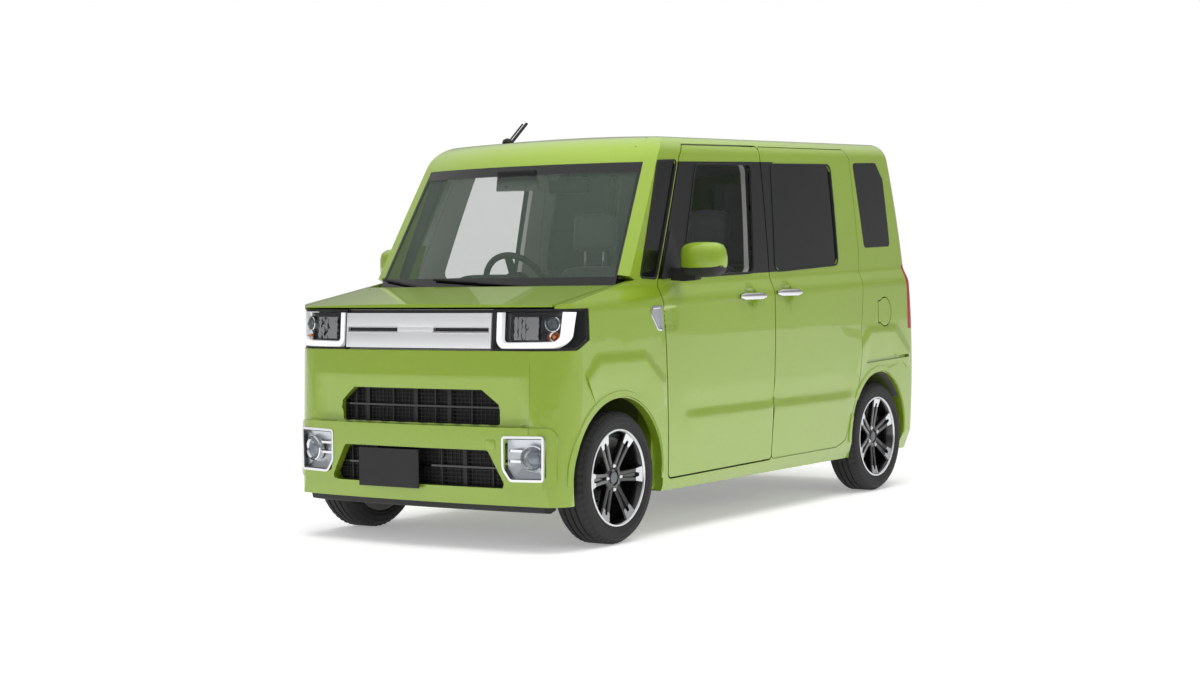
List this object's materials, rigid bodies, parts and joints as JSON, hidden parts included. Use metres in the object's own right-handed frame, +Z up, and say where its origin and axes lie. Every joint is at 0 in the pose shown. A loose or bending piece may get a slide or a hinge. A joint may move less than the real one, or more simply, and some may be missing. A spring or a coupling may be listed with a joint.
{
  "type": "kei car",
  "caption": "Tall boxy small passenger car with an upright windscreen, hinged front doors, sliding rear doors, bonnet and tailgate on small wheels.",
  "frame": {"origin": "middle of the car's length and width on the ground", "axes": "+X to the front, +Y to the car's left, +Z up"},
  "size_m": [3.3958, 1.9212, 1.8715],
  "materials": {
    "paint": "lime green pearl paint",
    "frame_paint": "body-colour primer coat",
    "black_plastic": "grained black plastic",
    "interior_plastic": "dark grey moulded plastic",
    "clear_glass": "pale green clear glass",
    "dark_glass": "privacy tinted glass",
    "silver": "satin silver paint",
    "lamp_inner": "dark reflector housing",
    "lens": "clear lens",
    "red_lens": "red lens",
    "chrome": "bright chrome",
    "cloth": "dark grey woven cloth",
    "steel": "bare steel",
    "iron": "cast iron",
    "alloy": "black painted alloy",
    "tyre": "black rubber",
    "mirror": "mirror with a dark back"
  },
  "bodies": {
    "body": {"floor_pan": "frame_paint", "body_side_left": "paint", "body_side_right": "paint", "roof_panel": "paint", "cowl": "black_plastic", "front_frame": "frame_paint", "front_fenders": "paint", "front_bumper": "paint", "rear_bumper": "paint", "sliding_door_left": "paint", "sliding_door_right": "paint", "windscreen": "clear_glass", "side_glasses": "dark_glass", "grille_panel": "silver", "intake_grilles": "black_plastic", "headlamps": "lamp_inner", "headlamp_lenses": "lens", "fog_lamps": "lamp_inner", "tail_lamps": "red_lens", "number_plate": "black_plastic", "sliding_door_handles": "chrome", "fender_garnishes": "chrome", "wipers": "black_plastic", "antenna": "black_plastic", "dashboard": "interior_plastic", "front_seats": "cloth", "rear_seats": "cloth", "engine_block": "iron", "exhaust": "steel", "fuel_tank": "black_plastic", "front_subframe": "steel", "rear_axle": "steel", "interior_mirror": "mirror"},
    "left_door": {"door_left": "paint", "door_glass_left": "clear_glass", "mirror_left": "paint", "handle_left": "chrome"},
    "right_door": {"door_right": "paint", "door_glass_right": "clear_glass", "mirror_right": "paint", "handle_right": "chrome"},
    "bonnet": {"bonnet": "paint"},
    "tailgate": {"tailgate": "paint", "tailgate_glass": "dark_glass"},
    "fuel_lid": {"fuel_lid": "paint"},
    "left_knuckle": {"knuckle_left": "iron"},
    "right_knuckle": {"knuckle_right": "iron"},
    "steering_wheel": {"steering_wheel": "interior_plastic"},
    "wheel_fl": {"wheel_front_left": "alloy", "tyre_front_left": "tyre", "brake_disc_left": "iron"},
    "wheel_fr": {"wheel_front_right": "alloy", "tyre_front_right": "tyre", "brake_disc_right": "iron"},
    "wheel_rl": {"wheel_rear_left": "alloy", "tyre_rear_left": "tyre"},
    "wheel_rr": {"wheel_rear_right": "alloy", "tyre_rear_right": "tyre"}
  },
  "joints": [
    {"name": "left_door_hinge", "type": "hinge", "parent": "body", "child": "left_door", "pos_m": [0.8, 0.725, 0.64], "axis": [0, 0, -1], "range_deg": [0, 65]},
    {"name": "right_door_hinge", "type": "hinge", "parent": "body", "child": "right_door", "pos_m": [0.8, -0.725, 0.64], "axis": [0, 0, 1], "range_deg": [0, 65]},
    {"name": "bonnet_hinge", "type": "hinge", "parent": "body", "child": "bonnet", "pos_m": [1.178, 0, 1.07909], "axis": [0, -1, 0], "range_deg": [0, 45]},
    {"name": "tailgate_hinge", "type": "hinge", "parent": "body", "child": "tailgate", "pos_m": [-1.583, 0, 1.69], "axis": [0, 1, 0], "range_deg": [0, 80]},
    {"name": "fuel_lid_hinge", "type": "hinge", "parent": "body", "child": "fuel_lid", "pos_m": [-1.247, 0.7245, 0.93], "axis": [0, 0, -1], "range_deg": [0, 90]},
    {"name": "left_steer", "type": "hinge", "parent": "body", "child": "left_knuckle", "pos_m": [1.215, 0.52, 0.79], "axis": [0, -0.1445, 0.9895], "range_deg": [-35, 35]},
    {"name": "right_steer", "type": "hinge", "parent": "body", "child": "right_knuckle", "pos_m": [1.215, -0.52, 0.79], "axis": [0, 0.1445, 0.9895], "range_deg": [-35, 35]},
    {"name": "steering_wheel_turn", "type": "hinge", "parent": "body", "child": "steering_wheel", "pos_m": [0.48, -0.33, 1.075], "axis": [-0.9063, 0, 0.4226], "range_deg": [-490, 490]},
    {"name": "wheel_fl_spin", "type": "hinge", "parent": "left_knuckle", "child": "wheel_fl", "pos_m": [1.215, 0.65, 0.281], "axis": [0, 1, 0], "continuous": true},
    {"name": "wheel_fr_spin", "type": "hinge", "parent": "right_knuckle", "child": "wheel_fr", "pos_m": [1.215, -0.65, 0.281], "axis": [0, 1, 0], "continuous": true},
    {"name": "wheel_rl_spin", "type": "hinge", "parent": "body", "child": "wheel_rl", "pos_m": [-1.24, 0.645, 0.281], "axis": [0, 1, 0], "continuous": true},
    {"name": "wheel_rr_spin", "type": "hinge", "parent": "body", "child": "wheel_rr", "pos_m": [-1.24, -0.645, 0.281], "axis": [0, 1, 0], "continuous": true}
  ],
  "couplings": [
    {"joint": "right_steer", "follows": "left_steer", "ratio": 1},
    {"joint": "steering_wheel_turn", "follows": "left_steer", "ratio": 14}
  ]
}
